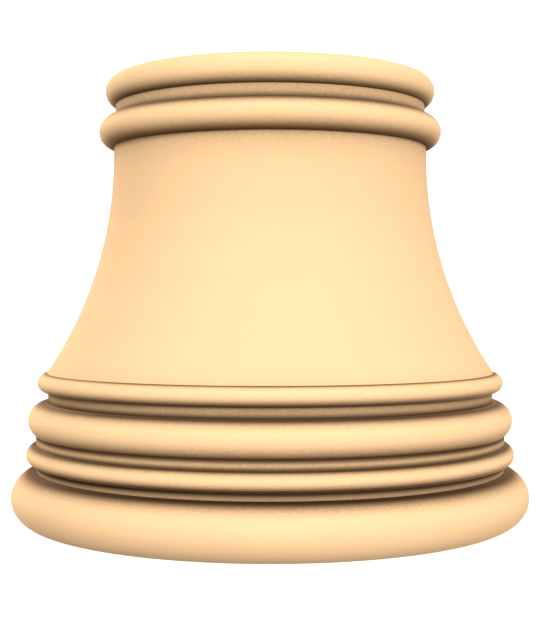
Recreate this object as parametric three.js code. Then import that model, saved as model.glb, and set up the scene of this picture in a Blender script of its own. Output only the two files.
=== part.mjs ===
// Column base: one block of pale limestone, turned round to a moulded outline.
// Millimetres, +Z up. The origin is the middle of the underside, and Z is the column's axis.

import * as THREE from 'three';

// Driving sizes

// The body is as wide as the shaft that it carries at its throat, and flares down to the bell's foot.
const throatRadius = 152.5;
const throatHeight = 8.3;
const bellHeight = 209.4;
const bellFlare = 64.1;

// The walls of the grooves, each as a step in or out from the face above it.
const topGrooveSink = 1.5;
const upperGrooveSink = 1.2;
const lowerGrooveStep = 11.4;

// Clear heights of the grooves, and of the fillet over the foot roll.
const topGrooveHeight = 11.3;
const upperGrooveHeight = 10.2;
const lowerGrooveHeight = 9.9;
const footFilletHeight = 6.8;

// Each roll and bead is a round moulding. Its thickness is the height of the whole round, and its
// projection is how far it stands out past the wider of the two faces that it lies between.
const topRollThickness = 28.2;
const topRollProjection = 9.5;
const neckRollThickness = 29.6;
const neckRollProjection = 14.2;
const upperBeadThickness = 17.4;
const upperBeadProjection = 8.7;
const middleRollThickness = 33.8;
const middleRollProjection = 7.2;
const lowerBeadThickness = 17.5;
const lowerBeadProjection = 9.1;
const footRollThickness = 50;
const footRollProjection = 23.2;

// Farthest that a flat facet may lie from the true curve.
const facetTolerance = 0.3;

// Shorter straight lines than this are left out of the outline.
const shortestLine = 0.01;

// Faces of the turned body, as radii

const topGrooveWall = throatRadius - topGrooveSink;
const bellFootRadius = throatRadius + bellFlare;
const upperGrooveWall = bellFootRadius - upperGrooveSink;
const lowerGrooveWall = upperGrooveWall + lowerGrooveStep;
const axis = 0;

// Angle that one facet may span on a curve of this radius.
function facetAngle(radius) {
  return 2 * Math.acos(1 - facetTolerance / radius);
}

// Points of an arc in the outline's plane, from the first angle to the last, both included.
function arcPoints(centreRadius, centreHeight, arcRadius, firstAngle, lastAngle) {
  const steps = Math.ceil(Math.abs(lastAngle - firstAngle) / facetAngle(arcRadius));
  const points = [];
  for (let i = 0; i <= steps; i++) {
    const angle = firstAngle + ((lastAngle - firstAngle) * i) / steps;
    const radius = centreRadius + arcRadius * Math.cos(angle);
    const height = centreHeight + arcRadius * Math.sin(angle);
    points.push(new THREE.Vector2(radius, height));
  }
  return points;
}

// A roll or bead that starts at this height, between the face below it and the face above it.
// A face in front of the round's centre cuts the round short, and one behind it meets a level shoulder.
// The arc is drawn in two halves, so that one of its points is the widest one.
function rollPoints(startHeight, thickness, projection, faceBelow, faceAbove) {
  const roundRadius = thickness / 2;
  const centreRadius = Math.max(faceBelow, faceAbove) + projection - roundRadius;
  const cutAngle = (face) => Math.acos(Math.max(0, face - centreRadius) / roundRadius);
  const hasShoulder = (face) => centreRadius - face > shortestLine;
  const centreHeight = startHeight + roundRadius * Math.sin(cutAngle(faceBelow));
  const half = (firstAngle, lastAngle) =>
    arcPoints(centreRadius, centreHeight, roundRadius, firstAngle, lastAngle);

  const points = [...half(-cutAngle(faceBelow), 0), ...half(0, cutAngle(faceAbove)).slice(1)];
  if (hasShoulder(faceBelow)) {
    points.unshift(new THREE.Vector2(faceBelow, points[0].y));
  }
  if (hasShoulder(faceAbove)) {
    points.push(new THREE.Vector2(faceAbove, points[points.length - 1].y));
  }
  return points;
}

// The bell, from its foot up to the throat: one hollow arc that ends upright at the throat.
function bellPoints(footHeight) {
  const bellRadius = (bellHeight ** 2 + bellFlare ** 2) / (2 * bellFlare);
  const throatAngle = Math.PI;
  const footAngle = throatAngle + Math.asin(bellHeight / bellRadius);
  const points = arcPoints(
    throatRadius + bellRadius,
    footHeight + bellHeight,
    bellRadius,
    footAngle,
    throatAngle,
  );
  return points.slice(1);
}

// The outline is drawn upwards, from the middle of the underside to the middle of the top bed.
// Each round starts where the outline has got to, plus the clear height of the wall between them.
function outlinePoints() {
  const outline = [];
  let top = 0;
  const add = (points) => {
    outline.push(...points);
    top = points[points.length - 1].y;
  };
  const addRoll = (clearHeight, thickness, projection, faceBelow, faceAbove) => {
    add(rollPoints(top + clearHeight, thickness, projection, faceBelow, faceAbove));
  };

  addRoll(0, footRollThickness, footRollProjection, axis, lowerGrooveWall);
  addRoll(
    footFilletHeight, lowerBeadThickness, lowerBeadProjection, lowerGrooveWall, lowerGrooveWall,
  );
  addRoll(
    lowerGrooveHeight, middleRollThickness, middleRollProjection, lowerGrooveWall, upperGrooveWall,
  );
  addRoll(
    upperGrooveHeight, upperBeadThickness, upperBeadProjection, upperGrooveWall, bellFootRadius,
  );
  add(bellPoints(top));
  addRoll(throatHeight, neckRollThickness, neckRollProjection, throatRadius, topGrooveWall);
  addRoll(topGrooveHeight, topRollThickness, topRollProjection, topGrooveWall, axis);
  return outline;
}

// The whole base is one turned solid.
function turnedSolid(outline) {
  const widest = Math.max(...outline.map((point) => point.x));
  const sidesPerQuarter = Math.ceil(Math.PI / 2 / facetAngle(widest));
  const geometry = new THREE.LatheGeometry(outline, 4 * sidesPerQuarter);
  geometry.rotateX(Math.PI / 2);
  return geometry;
}

const limestone = new THREE.MeshStandardMaterial({
  color: 0xe7be8e,
  roughness: 0.85,
  metalness: 0,
});

const columnBase = new THREE.Mesh(turnedSolid(outlinePoints()), limestone);
columnBase.name = 'column_base';

const group = new THREE.Group();
group.add(columnBase);

export default group;
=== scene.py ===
# %% [markdown]
# A column base in turned limestone.
#
# The base is the moulded block between a round column and what it stands on. This one is a single
# stone, turned like a bowl on a wheel: every level cut through it is a circle. So the whole shape is
# one outline, drawn on one side of the axis and swung round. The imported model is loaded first, as a
# frame that fixes the place and the size of everything that follows.

# %% Load the frame
import math

import bmesh
import bpy
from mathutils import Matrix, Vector
from mathutils.bvhtree import BVHTree


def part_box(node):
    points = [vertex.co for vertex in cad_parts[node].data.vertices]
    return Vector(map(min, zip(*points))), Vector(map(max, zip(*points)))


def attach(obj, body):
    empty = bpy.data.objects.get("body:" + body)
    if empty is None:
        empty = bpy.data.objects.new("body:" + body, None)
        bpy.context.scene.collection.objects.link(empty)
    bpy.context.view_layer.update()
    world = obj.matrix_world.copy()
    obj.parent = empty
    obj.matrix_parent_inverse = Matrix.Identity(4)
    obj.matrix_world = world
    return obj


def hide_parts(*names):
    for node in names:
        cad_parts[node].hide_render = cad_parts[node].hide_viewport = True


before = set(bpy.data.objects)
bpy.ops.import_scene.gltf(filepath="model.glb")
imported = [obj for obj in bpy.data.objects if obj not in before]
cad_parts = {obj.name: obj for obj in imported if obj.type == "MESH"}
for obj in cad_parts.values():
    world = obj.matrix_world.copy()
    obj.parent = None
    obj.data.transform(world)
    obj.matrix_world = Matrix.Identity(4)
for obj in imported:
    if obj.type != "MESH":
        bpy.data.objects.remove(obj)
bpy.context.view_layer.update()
node_name = "column_base"
cad_low, cad_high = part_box(node_name)
print("solid from", [round(c, 4) for c in cad_low], "to", [round(c, 4) for c in cad_high])

# %% [markdown]
# The camera.
#
# The photograph was taken from straight in front, level with the middle of the stone, so the top bed
# is seen from just below and the foot from just above. A camera's focal length can be given in
# pixels: it is how many pixels an object covers that is as wide as it is far away. With that one
# value and the size of a pixel at the axis, the distance follows. The stone stands a little off the
# middle of the picture, and a small shift of the lens places it there without tilting the view.

# %% Make the camera
PHOTO_WIDTH = 537
PHOTO_HEIGHT = 622
FOCAL_LENGTH_PX = 1264.5
AXIS_COLUMN = 270.11
HORIZON_ROW = 298.85
METRES_PER_PIXEL_AT_AXIS = 0.000985
EYE_HEIGHT = 0.2136
SENSOR_WIDTH_MM = 36.0

# A camera looks straight down until it is tipped up by this angle.
TIPPED_LEVEL = math.radians(90.0)

long_side = max(PHOTO_WIDTH, PHOTO_HEIGHT)
camera_distance = FOCAL_LENGTH_PX * METRES_PER_PIXEL_AT_AXIS

camera_data = bpy.data.cameras.new("photograph_camera")
camera_data.sensor_width = SENSOR_WIDTH_MM
camera_data.lens = SENSOR_WIDTH_MM * FOCAL_LENGTH_PX / long_side
camera_data.shift_x = (PHOTO_WIDTH / 2 - AXIS_COLUMN) / long_side
camera_data.shift_y = (HORIZON_ROW - PHOTO_HEIGHT / 2) / long_side

camera = bpy.data.objects.new("photograph_camera", camera_data)
camera.location = (0.0, -camera_distance, EYE_HEIGHT)
camera.rotation_euler = (TIPPED_LEVEL, 0.0, 0.0)
bpy.context.scene.collection.objects.link(camera)
bpy.context.scene.camera = camera
print("camera", round(camera_distance, 3), "m away, lens", round(camera_data.lens, 2), "mm")

# %% [markdown]
# The sizes of the mouldings.
#
# A mason reads a base from the axis outwards. The throat is as wide as the shaft above it. Rolls and
# beads are rounds: a thickness, and how far they stand out past the face beside them. Between them
# lie grooves, each with its own wall. Only these sizes are set. Every other place on the outline is
# worked out from them, so one change moves all that rests on it.

# %% Name the sizes, in metres
MM = 0.001

THROAT_RADIUS = 152.5 * MM
THROAT_HEIGHT = 8.3 * MM
BELL_HEIGHT = 209.4 * MM
BELL_FLARE = 64.1 * MM

TOP_GROOVE_SINK = 1.5 * MM
UPPER_GROOVE_SINK = 1.2 * MM
LOWER_GROOVE_STEP = 11.4 * MM

# Radii of the faces. Each groove's wall is a step in or out from the throat, from the bell's foot or
# from the groove above.
ON_AXIS = 0.0
BELL_FOOT_RADIUS = THROAT_RADIUS + BELL_FLARE
TOP_GROOVE_WALL = THROAT_RADIUS - TOP_GROOVE_SINK
UPPER_GROOVE_WALL = BELL_FOOT_RADIUS - UPPER_GROOVE_SINK
LOWER_GROOVE_WALL = UPPER_GROOVE_WALL + LOWER_GROOVE_STEP

TOP_GROOVE_HEIGHT = 11.3 * MM
UPPER_GROOVE_HEIGHT = 10.2 * MM
LOWER_GROOVE_HEIGHT = 9.9 * MM
FOOT_FILLET_HEIGHT = 6.8 * MM

# Each round: its thickness, and how far it stands out past the wider face beside it.
FOOT_ROLL = (50.0 * MM, 23.2 * MM)
LOWER_BEAD = (17.5 * MM, 9.1 * MM)
MIDDLE_ROLL = (33.8 * MM, 7.2 * MM)
UPPER_BEAD = (17.4 * MM, 8.7 * MM)
NECK_ROLL = (29.6 * MM, 14.2 * MM)
TOP_ROLL = (28.2 * MM, 9.5 * MM)
radii = (THROAT_RADIUS, BELL_FOOT_RADIUS, TOP_GROOVE_WALL, UPPER_GROOVE_WALL, LOWER_GROOVE_WALL)
print("radii of the faces", [round(radius / MM, 1) for radius in radii], "mm")

# %% [markdown]
# Drawing the outline.
#
# The outline could be a list of points read off a drawing, but a mason sets it out with a rule and a
# compass, and Blender has both. Extruding a vertex rules a straight line. Spinning a vertex about a
# centre swings an arc, and leaves its points joined by edges. A pen moves up from the middle of the
# underside to the middle of the top bed, and each tool hands back the vertex where it stopped.

# %% The rule and the compass
ROLL_FACET_DEGREES = 5.0
WALL_STEP = 0.8 * MM
SHORTEST_SHOULDER = 0.01 * MM


def rule(outline, pen, radius, height):
    """Draws a straight line from the pen to a new point, and moves the pen there."""
    drawn = bmesh.ops.extrude_vert_indiv(outline, verts=[pen])
    end = drawn["verts"][0]
    end.co = (radius, 0.0, height)
    return end


def compass(outline, pen, centre_radius, centre_height, angle, facet_degrees=ROLL_FACET_DEGREES):
    """Swings the pen about a centre in the outline's plane. A positive angle goes from out to up."""
    drawn = bmesh.ops.spin(
        outline,
        geom=[pen],
        cent=(centre_radius, 0.0, centre_height),
        axis=(0.0, -1.0, 0.0),
        angle=angle,
        steps=max(1, math.ceil(abs(angle) / math.radians(facet_degrees))),
        use_merge=False,
        use_duplicate=False,
    )
    return drawn["geom_last"][0]


def wall(outline, pen, radius, clear_height):
    """Rules an upright wall of a groove, in short steps, so that its tone can change up its height."""
    foot = pen.co.z
    steps = math.ceil(clear_height / WALL_STEP)
    for i in range(steps):
        pen = rule(outline, pen, radius, foot + clear_height * (i + 1) / steps)
    return pen


# %% [markdown]
# A round moulding between two faces.
#
# A roll is seldom a plain half circle. Where the face beside it stands out past the round's own
# centre, the face cuts the circle short. Where the face lies farther in, a level shoulder joins the
# two. The angle at which the face cuts the circle covers both cases, since it stops at a quarter turn.

# %% Draw a round
def round_moulding(outline, pen, sizes, face_below, face_above):
    """Draws a roll or a bead upwards from the pen, which stands on the face below it."""
    thickness, projection = sizes
    round_radius = thickness / 2
    centre_radius = max(face_below, face_above) + projection - round_radius
    cut_below = math.acos(max(0.0, face_below - centre_radius) / round_radius)
    cut_above = math.acos(max(0.0, face_above - centre_radius) / round_radius)
    if centre_radius - face_below > SHORTEST_SHOULDER:
        pen = rule(outline, pen, centre_radius, pen.co.z)
    centre_height = pen.co.z + round_radius * math.sin(cut_below)
    pen = compass(outline, pen, centre_radius, centre_height, cut_below + cut_above)
    if centre_radius - face_above > SHORTEST_SHOULDER:
        pen = rule(outline, pen, face_above, pen.co.z)
    return pen


# %% [markdown]
# The bell.
#
# Above the beads the stone sweeps in to the throat in one long hollow curve. It is a single arc: it
# ends upright at the throat, so its centre is level with the top of the bell, and the flare and the
# height give its radius. The compass swings it backwards, because its centre lies outside the stone.

# %% Draw the bell
BELL_FACET_DEGREES = 1.0


def bell(outline, pen):
    """Draws the hollow arc from the bell's foot, where the pen is, up to the throat."""
    bell_radius = (BELL_HEIGHT**2 + BELL_FLARE**2) / (2 * BELL_FLARE)
    swept = -math.asin(BELL_HEIGHT / bell_radius)
    centre_height = pen.co.z + BELL_HEIGHT
    pen = compass(
        outline, pen, THROAT_RADIUS + bell_radius, centre_height, swept, BELL_FACET_DEGREES
    )
    print("bell arc radius", round(bell_radius / MM, 1), "mm")
    return pen


# %% [markdown]
# The whole outline, from the underside up.
#
# The bed faces are ruled in two stretches, so that the flat discs get a ring of their own and not only
# long thin triangles that run to the middle. Wherever a round meets a wall, or the bell, there is a
# crease, and its place is kept for the painted shade.

# %% Draw the outline
BED_RING_RADIUS = 75.0 * MM
crease_places = {}


def mark_crease(name, pen):
    """Keeps the pen's place as the bottom of a crease."""
    crease_places[name] = pen.co.copy()


roll_thickness, roll_projection = FOOT_ROLL
foot_bed_radius = LOWER_GROOVE_WALL + roll_projection - roll_thickness / 2

outline = bmesh.new()
pen = outline.verts.new((ON_AXIS, 0.0, 0.0))
pen = rule(outline, pen, BED_RING_RADIUS, 0.0)
pen = rule(outline, pen, foot_bed_radius, 0.0)
mark_crease("under the foot roll", pen)
pen = round_moulding(outline, pen, FOOT_ROLL, foot_bed_radius, LOWER_GROOVE_WALL)
mark_crease("over the foot roll", pen)
pen = wall(outline, pen, LOWER_GROOVE_WALL, FOOT_FILLET_HEIGHT)
mark_crease("under the lower bead", pen)
pen = round_moulding(outline, pen, LOWER_BEAD, LOWER_GROOVE_WALL, LOWER_GROOVE_WALL)
mark_crease("over the lower bead", pen)
pen = wall(outline, pen, LOWER_GROOVE_WALL, LOWER_GROOVE_HEIGHT)
mark_crease("under the middle roll", pen)
pen = round_moulding(outline, pen, MIDDLE_ROLL, LOWER_GROOVE_WALL, UPPER_GROOVE_WALL)
mark_crease("over the middle roll", pen)
pen = wall(outline, pen, UPPER_GROOVE_WALL, UPPER_GROOVE_HEIGHT)
mark_crease("under the upper bead", pen)
pen = round_moulding(outline, pen, UPPER_BEAD, UPPER_GROOVE_WALL, BELL_FOOT_RADIUS)
mark_crease("at the bell's foot", pen)
pen = bell(outline, pen)
pen = wall(outline, pen, THROAT_RADIUS, THROAT_HEIGHT)
mark_crease("under the neck roll", pen)
pen = round_moulding(outline, pen, NECK_ROLL, THROAT_RADIUS, TOP_GROOVE_WALL)
mark_crease("over the neck roll", pen)
pen = wall(outline, pen, TOP_GROOVE_WALL, TOP_GROOVE_HEIGHT)
mark_crease("under the top roll", pen)
pen = round_moulding(outline, pen, TOP_ROLL, TOP_GROOVE_WALL, BED_RING_RADIUS)
pen = rule(outline, pen, ON_AXIS, pen.co.z)
top_height = pen.co.z
print("outline", len(outline.verts), "points, top", round((top_height - cad_high.z) / MM, 4), "mm off")

# %% [markdown]
# The inner corners.
#
# Where a wall meets a round, the cutter can't leave a perfectly sharp corner: its nose leaves a small
# hollow. Beveling the corner's vertex before the spin rounds it once, and the spin then carries that
# round all the way about the stone. Each corner takes as much as its shorter neighbour has room for.

# %% Ease the inner corners
NOSE_RADIUS = 0.6 * MM
CORNER_DEGREES = 20.0
CORNER_SEGMENTS = 3
SHARE_OF_SHORT_EDGE = 0.4


def turn_at(vertex):
    """The angle by which the outline turns at this point, in degrees."""
    before, after = (edge.other_vert(vertex).co - vertex.co for edge in vertex.link_edges)
    return 180.0 - math.degrees(before.angle(after))


inner_points = [vertex for vertex in outline.verts if len(vertex.link_edges) == 2]
corners = [vertex for vertex in inner_points if turn_at(vertex) > CORNER_DEGREES]
for corner in corners:
    room = SHARE_OF_SHORT_EDGE * min(edge.calc_length() for edge in corner.link_edges)
    bmesh.ops.bevel(
        outline,
        geom=[corner],
        offset=min(NOSE_RADIUS, room),
        offset_type="OFFSET",
        segments=CORNER_SEGMENTS,
        profile=0.5,
        affect="VERTICES",
        material=-1,
        clamp_overlap=True,
    )
print("eased", len(corners), "inner corners;", len(outline.verts), "points")

# %% [markdown]
# Numbering the rings.
#
# Later steps ask which ring of the finished stone a point belongs to, and how far it lies from the
# creases beside it. The points of a bmesh come in no useful order, so the outline is walked from its
# first point to its last. The number and the distance are written on the points before the spin, and
# the spin hands them on to every point of the ring.

# %% Number the outline's points
ON_POINT = 0.001 * MM

ring_layer = outline.verts.layers.int.new("ring")
along_layer = outline.verts.layers.float.new("along")


def walk_from(point):
    """Visits the outline's points in order, and gives each with its distance from the first."""
    before = None
    walked = 0.0
    while point is not None:
        yield point, walked
        neighbours = [edge.other_vert(point) for edge in point.link_edges]
        ahead = [neighbour for neighbour in neighbours if neighbour is not before]
        before = point
        point = ahead[0] if ahead else None
        if point is not None:
            walked += (point.co - before.co).length


start_point = next(vertex for vertex in outline.verts if vertex.co.length < ON_POINT)
for ring, (vertex, walked) in enumerate(walk_from(start_point)):
    vertex[ring_layer] = ring
    vertex[along_layer] = walked

crease_along = {}
for name, place in crease_places.items():
    nearest = min(outline.verts, key=lambda vertex: (vertex.co - place).length)
    crease_along[name] = nearest[along_layer]
print("outline", round(walked / MM, 1), "mm long,", ring + 1, "rings,", len(crease_along), "creases")

# %% [markdown]
# Turning the stone.
#
# One full spin about the axis makes the surface. The two ends of the outline lie on the axis, so each
# leaves a heap of points there: merging doubles closes the poles. A spin can come out inside out, so
# the normals are worked out again afterwards, and a positive volume shows that they point outwards.

# %% Spin the outline
SIDES = 192
MERGE_DISTANCE = 0.001 * MM

bmesh.ops.spin(
    outline,
    geom=outline.verts[:] + outline.edges[:],
    cent=(0.0, 0.0, 0.0),
    axis=(0.0, 0.0, 1.0),
    angle=math.tau,
    steps=SIDES,
    use_merge=True,
    use_duplicate=False,
)
bmesh.ops.remove_doubles(outline, verts=outline.verts[:], dist=MERGE_DISTANCE)
bmesh.ops.recalc_face_normals(outline, faces=outline.faces[:])
outline.normal_update()
open_edges = [edge for edge in outline.edges if not edge.is_manifold]
print("faces", len(outline.faces), "open edges", len(open_edges))
print("volume", round(outline.calc_volume(signed=True), 5), "cubic metres")

# %% [markdown]
# How sheltered each place is.
#
# Light from the room falls freely on a roll, but little of it reaches the bottom of a groove, and the
# stone's colour is painted darker by that. How sheltered a place is can be measured: rays are cast
# outwards over half a sphere, and the share of them that meet the stone again is its shelter. Every
# point of a ring has the same value, so one point of each ring is measured and the others copy it.

# %% Measure the shelter
SHELTER_RAYS = 400
SHELTER_REACH = 400.0 * MM
RAY_START = 0.05 * MM
GOLDEN_ANGLE = math.pi * (3.0 - math.sqrt(5.0))


def rays_over(normal):
    """Directions spread evenly over the half sphere about the normal, more of them near its middle."""
    aside = normal.orthogonal().normalized()
    across = normal.cross(aside)
    for i in range(SHELTER_RAYS):
        share = (i + 0.5) / SHELTER_RAYS
        lean = math.sqrt(share)
        yield (
            aside * (lean * math.cos(i * GOLDEN_ANGLE))
            + across * (lean * math.sin(i * GOLDEN_ANGLE))
            + normal * math.sqrt(1.0 - share)
        )


def shelter_at(stone_tree, vertex):
    """Share of the rays from this point that meet the stone again within reach."""
    start = vertex.co + vertex.normal * RAY_START
    hits = [stone_tree.ray_cast(start, ray, SHELTER_REACH)[0] for ray in rays_over(vertex.normal)]
    return sum(hit is not None for hit in hits) / SHELTER_RAYS


stone_tree = BVHTree.FromBMesh(outline)
shelter_of_ring = {}
for vertex in outline.verts:
    ring = vertex[ring_layer]
    if ring not in shelter_of_ring:
        shelter_of_ring[ring] = shelter_at(stone_tree, vertex)
print("rings", len(shelter_of_ring), "deepest shelter", max(shelter_of_ring.values()))

# %% [markdown]
# Painted shade in the creases.
#
# Shade is painted into the grooves as a warm brown, darkest deep down and fading out over the rolls.
# It is laid where the stone is sheltered, more on faces that look up or down than on upright walls.
# Each crease adds painted shade of its own, and every crease is a little different. Under the foot
# roll a faint band of it rises from the ground. Each share adds to one depth of painted shade, and
# what still shows of the bare stone falls away with that depth, as light does in tinted glass.

# %% Lay the stain
# The painted shade of each slope: how much any shelter gives, and how much more deep shelter adds.
WALL_PAINTED_SHADE = (1.65, 0.7)
LEDGE_PAINTED_SHADE = (1.6, 3.4)
UNDERSIDE_PAINTED_SHADE = (3.0, 0.4)

# What painted shade each crease adds, and how many millimetres it reaches: on the side below it, then
# above it. A value below zero takes away some of the painted shade that shelter gave.
NOTHING_MORE = (0.0, 1.0)
CREASE_PAINTED_SHADE = {
    "under the foot roll": (NOTHING_MORE, (0.1, 22.0)),
    "over the foot roll": ((1.85, 9.6), NOTHING_MORE),
    "under the lower bead": ((2.7, 2.8), (2.05, 4.9)),
    "over the lower bead": ((2.2, 2.75), (1.7, 2.5)),
    "under the middle roll": ((2.9, 3.1), (0.7, 1.2)),
    "over the middle roll": ((1.2, 6.4), (1.9, 2.9)),
    "under the upper bead": ((0.15, 2.0), (0.07, 8.0)),
    "at the bell's foot": ((2.4, 2.5), (-0.2, 3.0)),
    "under the neck roll": (NOTHING_MORE, (0.58, 10.1)),
    "over the neck roll": ((2.9, 8.8), (0.9, 3.0)),
    "under the top roll": (NOTHING_MORE, (-0.55, 9.5)),
}


def painted_shade_from_shelter(shelter, normal):
    """Depth of painted shade from shelter alone. The more a face looks up or down, the more is added
    to it.
    """
    depth = 0.0
    shares = (1.0, max(normal.z, 0.0), max(-normal.z, 0.0))
    for share, (any_shelter, deep_shelter) in zip(shares, (WALL_PAINTED_SHADE, LEDGE_PAINTED_SHADE, UNDERSIDE_PAINTED_SHADE)):
        depth += share * shelter * (any_shelter + deep_shelter * shelter)
    return depth


def painted_shade_from_creases(along):
    """Depth of painted shade that the creases add at this distance along the outline."""
    depth = 0.0
    for name, (below, above) in CREASE_PAINTED_SHADE.items():
        away = along - crease_along[name]
        added, reach = above if away > 0.0 else below
        depth += added * math.exp(-((away / (reach * MM)) ** 2))
    return depth


# Each point keeps how much painted shade covers it, from 0 on bare stone to nearly 1 deep in a crease.
painted_shade_layer = outline.verts.layers.float.new("painted_shade")
for vertex in outline.verts:
    depth = painted_shade_from_shelter(shelter_of_ring[vertex[ring_layer]], vertex.normal)
    depth += painted_shade_from_creases(vertex[along_layer])
    vertex[painted_shade_layer] = 1.0 - math.exp(-max(depth, 0.0))
print("deepest stain", round(max(vertex[painted_shade_layer] for vertex in outline.verts), 3))

# %% [markdown]
# The finished piece.
#
# The mesh stands for the faceted solid, at the same place and size. Every face is shaded smooth, and
# so are the two flat beds, because they run into the rolls beside them without an edge. The beds take
# a plainer finish of their own, so each face is given the number of its finish.

# %% Make the piece
RUBBED, SAWN = 0, 1
BED_TOLERANCE = 0.01 * MM


def is_bed(face):
    """True for the faces of the flat discs above and below."""
    heights = [vertex.co.z for vertex in face.verts]
    return max(heights) < BED_TOLERANCE or min(heights) > top_height - BED_TOLERANCE


for face in outline.faces:
    face.smooth = True
    face.material_index = SAWN if is_bed(face) else RUBBED

stone_mesh = bpy.data.meshes.new("turned_stone")
outline.to_mesh(stone_mesh)
outline.free()
stone = bpy.data.objects.new("turned_stone", stone_mesh)
bpy.context.scene.collection.objects.link(stone)
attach(stone, "root")
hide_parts(node_name)
print("triangles", sum(len(face.vertices) - 2 for face in stone_mesh.polygons))

# %% [markdown]
# Small tools for node trees.
#
# A material is a tree of nodes: each does one simple thing, and its links carry the result on. They
# could be placed by hand in the editor, but then the recipe can't be read in the script. Adding a node
# in code takes the same few lines each time, so they are put in helpers: one for any node, one that
# feeds it, and one each for a noise, for a pattern of cells and for a sum or a product.

# %% Make the helpers for node trees
NODE_COLUMN = 200


def add_node(tree, kind, place, **settings):
    """Adds a node, places it, and sets its properties."""
    node = tree.nodes.new(kind)
    node.location = place
    for name, value in settings.items():
        setattr(node, name, value)
    return node


def feed(tree, socket, given):
    """Links a socket to another node's output, or sets its value."""
    if isinstance(given, bpy.types.NodeSocket):
        tree.links.new(given, socket)
    else:
        socket.default_value = given


def noise(tree, place, where, waves_per_metre, detail):
    """Adds a noise texture. The detail is how many finer copies are laid over the first waves."""
    node = add_node(tree, "ShaderNodeTexNoise", place)
    feed(tree, node.inputs["Vector"], where)
    feed(tree, node.inputs["Scale"], waves_per_metre)
    feed(tree, node.inputs["Detail"], detail)
    return node.outputs["Fac"]


def round_cells(tree, place, where, cells_per_metre):
    """Adds cells: how far each point is from its cell's middle, and chance values for each cell."""
    node = add_node(tree, "ShaderNodeTexVoronoi", place, feature="F1")
    feed(tree, node.inputs["Vector"], where)
    feed(tree, node.inputs["Scale"], cells_per_metre)
    chance = add_node(tree, "ShaderNodeSeparateColor", (place[0] + NODE_COLUMN, place[1]))
    feed(tree, chance.inputs["Color"], node.outputs["Color"])
    return node.outputs["Distance"], chance.outputs


def math_node(tree, place, operation, first, second):
    """Adds a maths node. Each operand is a socket or a number."""
    node = add_node(tree, "ShaderNodeMath", place, operation=operation)
    feed(tree, node.inputs[0], first)
    feed(tree, node.inputs[1], second)
    return node.outputs[0]


# %% [markdown]
# The grain of the stone.
#
# The stone is a fine, warm cream limestone. Close to, it is a bed of grains about a millimetre across.
# From a step away it is almost even, with a faint drift of tone and level bands where it was laid
# down. A saw cut also shows a few open pores. Rubbed and sawn faces are the same stone, so both share
# this one group of nodes, each with its own strengths. A picture of stone would have to be wrapped
# round the mouldings. The group reads Object coordinates instead, so its pattern runs through the
# block as it does in a real one.

# %% Build the grain group
GRAINS_PER_METRE = 850.0
PORES_PER_METRE = 420.0
DRIFT_PER_METRE = 9.0
BEDS_PER_METRE = 38.0
BEDS_STRETCH = (0.06, 0.06, 1.0)
SHARE_OF_CELLS_WITH_PORE = 0.06
PORE_RADIUS_IN_CELLS = 0.22

# Two patterns that each run from 0 to 1 have this average once they are added.
AVERAGE_OF_TWO = 1.0


def build_grain_group():
    """Tone, height and pores of the stone, for every finish."""
    group = bpy.data.node_groups.new("limestone_grain", "ShaderNodeTree")
    sockets = group.interface
    for name in ("Grain", "Drift", "Pores"):
        socket = sockets.new_socket(name, in_out="INPUT", socket_type="NodeSocketFloat")
        socket.default_value = 1.0
    for name in ("Tone", "Height", "Pore"):
        sockets.new_socket(name, in_out="OUTPUT", socket_type="NodeSocketFloat")

    given = add_node(group, "NodeGroupInput", (-1200, 0))
    result = add_node(group, "NodeGroupOutput", (700, 0))
    where = add_node(group, "ShaderNodeTexCoord", (-1200, -300)).outputs["Object"]

    # Fine grains: a small noise and round cells of the same size, each a little lighter or darker.
    speckle = noise(group, (-900, 300), where, GRAINS_PER_METRE, detail=1.0)
    _, grain_chance = round_cells(group, (-900, 50), where, GRAINS_PER_METRE)
    grain = math_node(group, (-500, 200), "ADD", speckle, grain_chance["Red"])
    grain = math_node(group, (-350, 200), "SUBTRACT", grain, AVERAGE_OF_TWO)
    grain = math_node(group, (-200, 200), "MULTIPLY", grain, given.outputs["Grain"])

    # Slow drift of tone through the block, and level beds.
    drift = noise(group, (-900, -250), where, DRIFT_PER_METRE, detail=3.0)
    flatten = add_node(group, "ShaderNodeMapping", (-1000, -500))
    feed(group, flatten.inputs["Vector"], where)
    feed(group, flatten.inputs["Scale"], BEDS_STRETCH)
    beds = noise(group, (-800, -500), flatten.outputs["Vector"], BEDS_PER_METRE, detail=3.0)
    slow = math_node(group, (-500, -300), "ADD", drift, beds)
    slow = math_node(group, (-350, -300), "SUBTRACT", slow, AVERAGE_OF_TWO)
    slow = math_node(group, (-200, -300), "MULTIPLY", slow, given.outputs["Drift"])

    # Pores: the middles of a few larger cells, chosen by a chance value that each cell has.
    from_middle, pore_chance = round_cells(group, (-900, -800), where, PORES_PER_METRE)
    few = math_node(group, (-500, -900), "LESS_THAN", pore_chance["Green"], SHARE_OF_CELLS_WITH_PORE)
    near = math_node(group, (-500, -750), "LESS_THAN", from_middle, PORE_RADIUS_IN_CELLS)
    pore = math_node(group, (-350, -800), "MULTIPLY", few, near)
    pore = math_node(group, (-200, -800), "MULTIPLY", pore, given.outputs["Pores"])

    feed(group, result.inputs["Tone"], math_node(group, (0, 0), "ADD", grain, slow))
    feed(group, result.inputs["Height"], math_node(group, (200, -400), "SUBTRACT", grain, pore))
    feed(group, result.inputs["Pore"], pore)
    return group


grain_group = build_grain_group()
print("group", grain_group.name, "with", len(grain_group.nodes), "nodes")

# %% [markdown]
# The colours.
#
# One flat colour would look like plastic. The stone has a pale and a deep tone, and the grain picks
# between them. They are close together, because the stone is a nearly even cream. The painted shade
# in the creases is a red-brown so dark that it eats nearly all of the light. Pores are brown holes.
# The dust is the stone's own cream.

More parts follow.
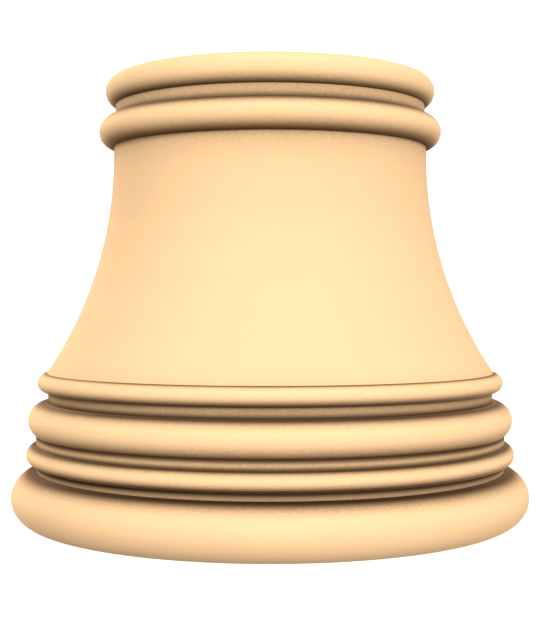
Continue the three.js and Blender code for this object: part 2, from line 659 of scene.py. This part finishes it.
# %% Choose the colours
PALE_STONE = (0.87, 0.572, 0.31, 1.0)
DEEP_STONE = (0.75, 0.478, 0.247, 1.0)
PORE_COLOUR = (0.45, 0.25, 0.11, 1.0)
# Painted shade: the colour that the creases are darkened towards.
PAINTED_SHADE_COLOUR = (0.023, 0.007, 0.0, 1.0)
DUST_COLOUR = (0.8, 0.5, 0.29, 1.0)

# A Mix node has sockets for every kind of value. These are the numbers of the ones for colours.
MIX_MASK = 0
MIX_FIRST = 6
MIX_SECOND = 7
MIX_RESULT = 2


def mix_colours(tree, place, mask, first, second):
    """Mixes two colours by a mask. Each colour is a socket or four numbers."""
    node = add_node(tree, "ShaderNodeMix", place, data_type="RGBA")
    feed(tree, node.inputs[MIX_MASK], mask)
    feed(tree, node.inputs[MIX_FIRST], first)
    feed(tree, node.inputs[MIX_SECOND], second)
    return node.outputs[MIX_RESULT]


print("pale stone", PALE_STONE[:3], "deep stone", DEEP_STONE[:3], "painted_shade", PAINTED_SHADE_COLOUR[:3])

# %% [markdown]
# A finish for the stone.
#
# The bare stone's colour comes first, then the painted shade that was laid down ring by ring. The
# grain breaks the painted shade up where it is thin and leaves it whole where it is thick, so the
# mottle is strongest in thin painted shade. Freshly cut limestone has no gloss at all, but it keeps a
# fine bloom of its own dust.
# A shader shows such dust with its sheen, which lightens the stone only where it turns away from the
# eye. That softens the rims and the ends of the creases, as it does in the photograph.

# %% Set out a finish
MIDDLE_TONE = 0.5
# How much the grain breaks up thin painted shade.
PAINTED_SHADE_MOTTLE = 3.0
MATT = 0.0
DUST = 0.5
DUST_SOFTNESS = 0.3
SMOOTHER_IN_PALE_GRAINS = -0.12


def painted_shade_with_mottle(tree, tone):
    """The painted shade's mask, mottled by the grain where the painted shade is thin."""
    painted_shade = add_node(tree, "ShaderNodeAttribute", (-1300, -250), attribute_name="painted_shade").outputs["Fac"]
    bare = math_node(tree, (-1100, -350), "SUBTRACT", 1.0, painted_shade)
    bare_twice = math_node(tree, (-950, -450), "MULTIPLY", bare, bare)
    thin = math_node(tree, (-950, -300), "MULTIPLY", bare_twice, painted_shade)
    mottle = math_node(tree, (-800, -250), "MULTIPLY", tone, PAINTED_SHADE_MOTTLE)
    mottle = math_node(tree, (-650, -250), "MULTIPLY", mottle, thin)
    return math_node(tree, (-500, -100), "ADD", painted_shade, mottle)


def stone_colour(tree, tone, pore):
    """The grain's tones from deep to pale, then the pores, then the painted shade over both."""
    shade = math_node(tree, (-700, 200), "ADD", tone, MIDDLE_TONE)
    colour = mix_colours(tree, (-500, 200), shade, DEEP_STONE, PALE_STONE)
    colour = mix_colours(tree, (-350, 200), pore, colour, PORE_COLOUR)
    return mix_colours(tree, (-200, 200), painted_shade_with_mottle(tree, tone), colour, PAINTED_SHADE_COLOUR)


def build_finish(name, grain, drift, pores, roughness, grain_depth):
    """One finish of the limestone: how strongly the grain, the drift and the pores show in it."""
    material = bpy.data.materials.new(name)
    material.use_nodes = True
    tree = material.node_tree
    stone_grain = add_node(tree, "ShaderNodeGroup", (-900, 0), node_tree=grain_group)
    feed(tree, stone_grain.inputs["Grain"], grain)
    feed(tree, stone_grain.inputs["Drift"], drift)
    feed(tree, stone_grain.inputs["Pores"], pores)
    tone = stone_grain.outputs["Tone"]

    colour = stone_colour(tree, tone, stone_grain.outputs["Pore"])
    smoother = math_node(tree, (-500, -300), "MULTIPLY", tone, SMOOTHER_IN_PALE_GRAINS)
    rough = math_node(tree, (-350, -300), "ADD", smoother, roughness)
    bump = add_node(tree, "ShaderNodeBump", (-300, -500))
    feed(tree, bump.inputs["Height"], stone_grain.outputs["Height"])
    feed(tree, bump.inputs["Distance"], grain_depth)

    shader = tree.nodes["Principled BSDF"]
    feed(tree, shader.inputs["Base Color"], colour)
    feed(tree, shader.inputs["Roughness"], rough)
    feed(tree, shader.inputs["Normal"], bump.outputs["Normal"])
    feed(tree, shader.inputs["Specular IOR Level"], MATT)
    feed(tree, shader.inputs["Sheen Weight"], DUST)
    feed(tree, shader.inputs["Sheen Roughness"], DUST_SOFTNESS)
    feed(tree, shader.inputs["Sheen Tint"], DUST_COLOUR)
    print("finish", name, "with", len(tree.nodes), "nodes")
    return material


# %% [markdown]
# Rubbed and sawn faces.
#
# The moulded faces are rubbed with grit until they are smooth and even. The beds, which the mortar
# hides, are left from the saw: rougher, with more of the drift and some open pores. Both materials
# come from the same recipe, and each face of the mesh already says which of the two it takes.

# %% Give the stone its finishes
rubbed = build_finish(
    "rubbed_limestone", grain=0.42, drift=0.25, pores=0.0, roughness=0.75, grain_depth=0.06 * MM
)
sawn = build_finish(
    "sawn_limestone", grain=0.6, drift=0.6, pores=1.0, roughness=0.9, grain_depth=0.2 * MM
)
stone_mesh.materials.append(rubbed)
stone_mesh.materials.append(sawn)

# %% [markdown]
# A white that the camera sees brighter.
#
# The photograph has plain white all round the stone, with no shadow on the ground. A floor and a room
# that both glow white do that. But what is white enough for the camera is too bright for the stone: it
# washes out the undersides of the rolls, as a light table would. So the glow has two strengths, one
# for the camera's own rays, and a weaker one for all the light that falls on the stone.

# %% Make the white with two strengths
WHITE = (1.0, 1.0, 1.0, 1.0)
SEEN_WHITE = 1.2


def mix_shaders(tree, place, mask, first, second):
    """Shows the first shader where the mask is 0, and the second one where it is 1."""
    node = add_node(tree, "ShaderNodeMixShader", place)
    for socket, given in zip(node.inputs, (mask, first, second)):
        feed(tree, socket, given)
    return node.outputs[0]


def white_glow(tree, place, shader_kind, strength):
    """Plain white light of one strength, from a surface or from the world's background."""
    node = add_node(tree, shader_kind, place)
    feed(tree, node.inputs["Color"], WHITE)
    feed(tree, node.inputs["Strength"], strength)
    return node.outputs[0]


def seen_and_lit(tree, shader_kind, lit):
    """Plain white for the camera, and white light of another strength for the stone."""
    for_stone = white_glow(tree, (0, 0), shader_kind, lit)
    for_camera = white_glow(tree, (0, -150), shader_kind, SEEN_WHITE)
    light_path = add_node(tree, "ShaderNodeLightPath", (0, 350))
    return mix_shaders(tree, (250, 0), light_path.outputs["Is Camera Ray"], for_stone, for_camera)


# %% [markdown]
# The floor.
#
# A pale round floor runs out to the horizon, where its white meets the white of the room. It lies a
# hair below the stone, because two faces in one plane show through each other in patches.

# %% Lay the floor
FLOOR_RADIUS = 12.0
FLOOR_SIDES = 96
FLOOR_HEIGHT = -0.1 * MM

floor_shape = bmesh.new()
bmesh.ops.create_circle(floor_shape, cap_ends=True, radius=FLOOR_RADIUS, segments=FLOOR_SIDES)
bmesh.ops.translate(floor_shape, verts=floor_shape.verts[:], vec=(0.0, 0.0, FLOOR_HEIGHT))
floor_mesh = bpy.data.meshes.new("pale_floor")
floor_shape.to_mesh(floor_mesh)
floor_shape.free()
floor = bpy.data.objects.new("pale_floor", floor_mesh)
bpy.context.scene.collection.objects.link(floor)
print("floor", FLOOR_RADIUS, "m in radius, at", round(FLOOR_HEIGHT / MM, 1), "mm")

# %% [markdown]
# The floor's glow.
#
# The floor could be solid, but then it would hide the stone from a camera below it. So only its upper
# side glows, and its back is clear. A face knows which of its sides a ray meets, and that chooses
# between the two.

# %% Make the floor glow
FLOOR_GLOW = 0.44

floor_material = bpy.data.materials.new("pale_floor")
floor_material.use_nodes = True
floor_tree = floor_material.node_tree
floor_tree.nodes.clear()
which_side = add_node(floor_tree, "ShaderNodeNewGeometry", (250, 350)).outputs["Backfacing"]
glow = seen_and_lit(floor_tree, "ShaderNodeEmission", FLOOR_GLOW)
clear = add_node(floor_tree, "ShaderNodeBsdfTransparent", (250, -200)).outputs[0]
one_way = mix_shaders(floor_tree, (500, 0), which_side, glow, clear)
floor_output = add_node(floor_tree, "ShaderNodeOutputMaterial", (700, 0))
feed(floor_tree, floor_output.inputs["Surface"], one_way)
floor_mesh.materials.append(floor_material)
print("floor glows at", FLOOR_GLOW)

# %% [markdown]
# The room.
#
# A white room stands for the big reflectors of a studio. It gives the stone most of its even light,
# and it could be built as walls and a ceiling. The world's background does the same for less, since
# nobody sees the walls.

# %% Light the room
ROOM_BRIGHTNESS = 0.84

world = bpy.data.worlds.new("white_room")
world.use_nodes = True
room = world.node_tree
room.nodes.clear()
room_output = add_node(room, "ShaderNodeOutputWorld", (500, 0))
feed(room, room_output.inputs["Surface"], seen_and_lit(room, "ShaderNodeBackground", ROOM_BRIGHTNESS))
bpy.context.scene.world = world
bpy.context.scene.view_settings.view_transform = "Standard"
print("room brightness", ROOM_BRIGHTNESS)

# %% [markdown]
# The soft lights.
#
# In the photograph the rolls are brightest a little above their middles and a little to the right, so
# the key light stands low in front, just right of the camera. A weak one lifts the left flank. Two
# behind the stone graze its sides and light up the rims, the left one more. They stand as low as they
# can without sinking into the floor. The last hangs above, for the crowns of the rolls. All are large
# and far off, so their light is soft, and as bright on the foot as on the top.

# %% Hang the soft lights
LIGHT_DISTANCE = 8.0
LIGHT_WIDTH = 3.2


def softbox(name, azimuth, elevation, power):
    """A round soft light that faces the middle of the stone. Azimuth 0 is the camera's side."""
    aim = Vector((0.0, 0.0, EYE_HEIGHT))
    turn = math.radians(azimuth)
    lift = math.radians(elevation)
    level = math.cos(lift)
    towards = Vector((math.sin(turn) * level, -math.cos(turn) * level, math.sin(lift)))
    data = bpy.data.lights.new(name, "AREA")
    data.shape = "DISK"
    data.size = LIGHT_WIDTH
    data.energy = power
    light = bpy.data.objects.new(name, data)
    light.location = aim + towards * LIGHT_DISTANCE
    light.rotation_mode = "QUATERNION"
    light.rotation_quaternion = towards.to_track_quat("Z", "Y")
    bpy.context.scene.collection.objects.link(light)
    print(name, power, "W at", azimuth, "degrees round and", elevation, "up")


softbox("key_light", azimuth=16.0, elevation=17.0, power=520.0)
softbox("left_light", azimuth=-64.0, elevation=35.0, power=110.0)
softbox("left_rim_light", azimuth=-140.0, elevation=10.0, power=430.0)
softbox("right_rim_light", azimuth=140.0, elevation=10.0, power=170.0)
softbox("top_light", azimuth=0.0, elevation=75.0, power=80.0)
